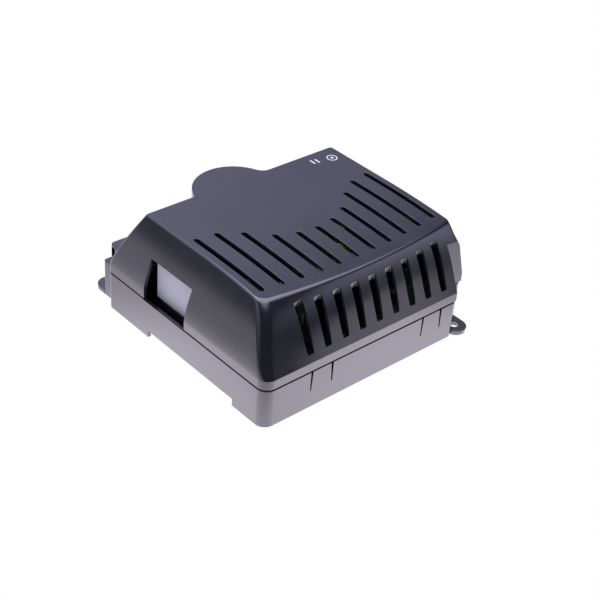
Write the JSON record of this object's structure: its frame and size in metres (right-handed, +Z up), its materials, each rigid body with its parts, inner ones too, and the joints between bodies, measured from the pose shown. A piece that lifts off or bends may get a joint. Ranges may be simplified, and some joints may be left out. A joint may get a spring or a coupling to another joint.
{
  "type": "variable frequency drive",
  "caption": "Boxy motor drive: base tray with two screw ears, leaning vented cover, electronics, finned heat sink and pull-out terminal plugs.",
  "frame": {"origin": "bottom centre of the bounding box, on the plane of the feet", "axes": "+X to the right along the slotted front, +Y to the back where the plugs are, +Z up"},
  "size_m": [0.1686, 0.175, 0.0705],
  "materials": {
    "case_base": "satin moulded plastic with a fine texture",
    "case_cover": "satin moulded plastic",
    "window_panel": "satin moulded plastic",
    "sink_aluminium": "extruded, unpainted",
    "pad": "soft matte",
    "black_part": "moulded",
    "board": "solder mask",
    "ferrite": "matte, dark grey",
    "copper_wire": "enamelled copper wire",
    "yellow_tape": "film tape",
    "yellow_case": "moulded box",
    "blue_case": "epoxy coated",
    "steel": "bright zinc plated",
    "fuse_glass": "clear tube with plated caps",
    "header": "moulded",
    "plug": "moulded",
    "capacitor_sleeve": "shrink sleeve on an aluminium can"
  },
  "bodies": {
    "case": {"base_tray": "case_base", "board_screw_1": "steel", "board_screw_2": "steel", "board_screw_3": "steel", "board_screw_4": "steel", "bridge_rectifier": "black_part", "bulk_capacitor_1": "capacitor_sleeve", "bulk_capacitor_2": "capacitor_sleeve", "bulk_capacitor_3": "capacitor_sleeve", "choke_core": "ferrite", "choke_cup": "black_part", "choke_winding": "copper_wire", "control_board": "board", "control_board_socket": "black_part", "control_header": "header", "earth_tab": "steel", "film_capacitor": "blue_case", "filter_choke_core": "ferrite", "filter_choke_winding_1": "copper_wire", "filter_choke_winding_2": "copper_wire", "fuse_clip_1": "steel", "fuse_clip_2": "steel", "heatsink": "sink_aluminium", "heatsink_screw_1": "steel", "heatsink_screw_2": "steel", "heatsink_screw_3": "steel", "heatsink_screw_4": "steel", "inrush_relay": "black_part", "main_board": "board", "mains_fuse": "fuse_glass", "mains_header": "header", "motor_header": "header", "power_module": "black_part", "processor_chip": "black_part", "thermal_pad": "pad", "thermistor": "ferrite", "transformer_coil": "yellow_tape", "transformer_core": "ferrite", "varistor": "blue_case", "x2_capacitor_1": "yellow_case", "x2_capacitor_2": "yellow_case", "y_capacitor_1": "blue_case", "y_capacitor_2": "blue_case"},
    "cover": {"top_cover": "case_cover", "window_panel": "window_panel", "cover_screw_1": "steel", "cover_screw_2": "steel"},
    "tab_left": {"snap_tab_left": "case_base"},
    "tab_right": {"snap_tab_right": "case_base"},
    "mains_plug_body": {"mains_plug": "plug"},
    "motor_plug_body": {"motor_plug": "plug"},
    "control_plug_body": {"control_plug": "plug"}
  },
  "joints": [
    {"name": "cover_lift", "type": "slide", "parent": "case", "child": "cover", "axis": [0, 0, 1], "range_m": [0, 0.06]},
    {"name": "tab_left_flex", "type": "hinge", "parent": "case", "child": "tab_left", "pos_m": [-0.0421, -0.0831, 0.0123], "axis": [1, 0, 0], "range_deg": [0, 6], "stiffness_Nm_per_rad": 0.6},
    {"name": "tab_right_flex", "type": "hinge", "parent": "case", "child": "tab_right", "pos_m": [0.04535, -0.0831, 0.0123], "axis": [1, 0, 0], "range_deg": [0, 6], "stiffness_Nm_per_rad": 0.6},
    {"name": "mains_plug_pull", "type": "slide", "parent": "case", "child": "mains_plug_body", "axis": [0, 1, 0], "range_m": [0, 0.028]},
    {"name": "motor_plug_pull", "type": "slide", "parent": "case", "child": "motor_plug_body", "axis": [0, 1, 0], "range_m": [0, 0.028]},
    {"name": "control_plug_pull", "type": "slide", "parent": "case", "child": "control_plug_body", "axis": [0, 1, 0], "range_m": [0, 0.028]}
  ]
}
